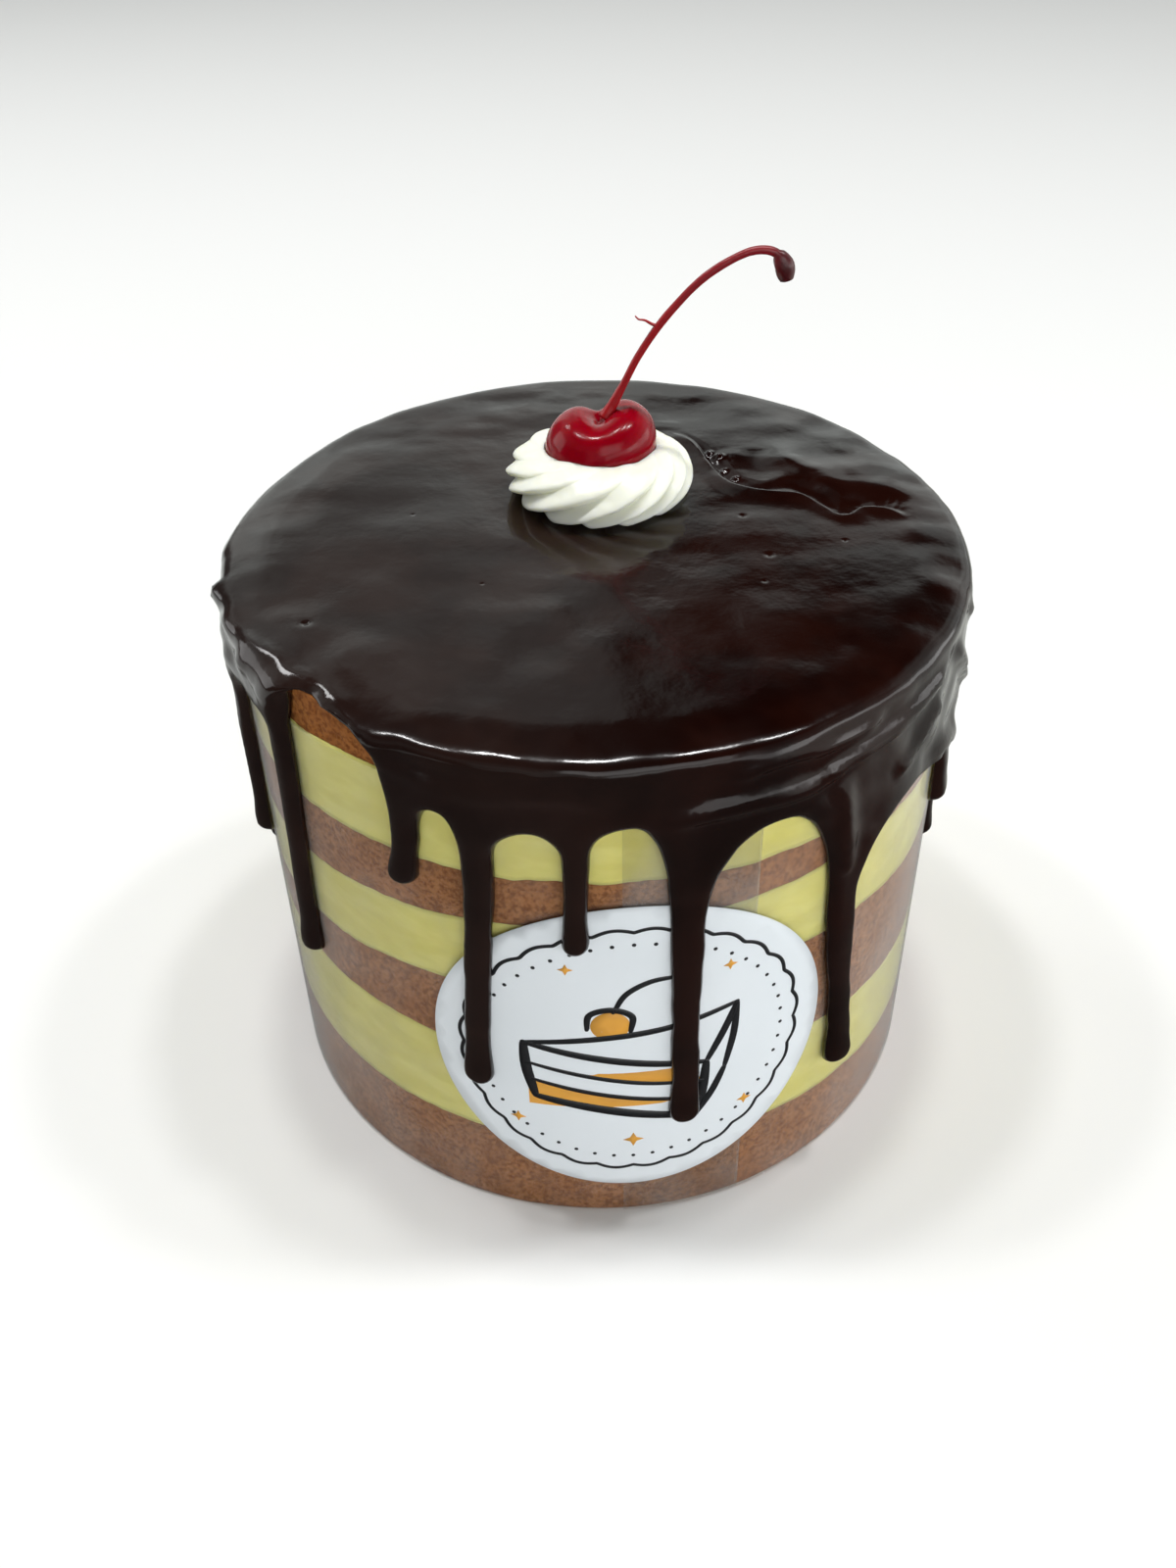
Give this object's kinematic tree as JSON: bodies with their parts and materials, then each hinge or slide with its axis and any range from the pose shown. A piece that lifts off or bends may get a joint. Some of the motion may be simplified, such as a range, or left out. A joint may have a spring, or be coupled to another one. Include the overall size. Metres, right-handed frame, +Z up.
{
  "type": "boston cream drip cake",
  "caption": "Tall round sponge and pastry cream cake in a clear collar with a label, under a chocolate drip glaze, with a cream rosette and a stemmed cherry.",
  "frame": {"origin": "middle of the cake's flat underside", "axes": "+Z up, -Y towards the side that carries the label, +X to the right as seen from the label"},
  "size_m": [0.157, 0.1561, 0.1786],
  "materials": {
    "sponge": "open, crumbly baked sponge, fully matte",
    "pastry_cream": "smooth soft custard, faintly moist",
    "clear_film": "thin clear plastic film, high gloss",
    "label_paper": "coated white paper sticker, satin",
    "chocolate_glaze": "poured chocolate glaze, wet-looking gloss",
    "whipped_cream": "piped whipped cream, soft satin",
    "cherry_skin": "candied cherry, translucent and very glossy",
    "cherry_stem": "dyed stem, moist sheen"
  },
  "bodies": {
    "root": {"sponge_1": "sponge", "sponge_2": "sponge", "sponge_3": "sponge", "sponge_4": "sponge", "pastry_cream_1": "pastry_cream", "pastry_cream_2": "pastry_cream", "pastry_cream_3": "pastry_cream", "collar": "clear_film", "label": "label_paper", "glaze": "chocolate_glaze", "rosette": "whipped_cream", "cherry": "cherry_skin", "cherry_stem": "cherry_stem"}
  },
  "joints": []
}
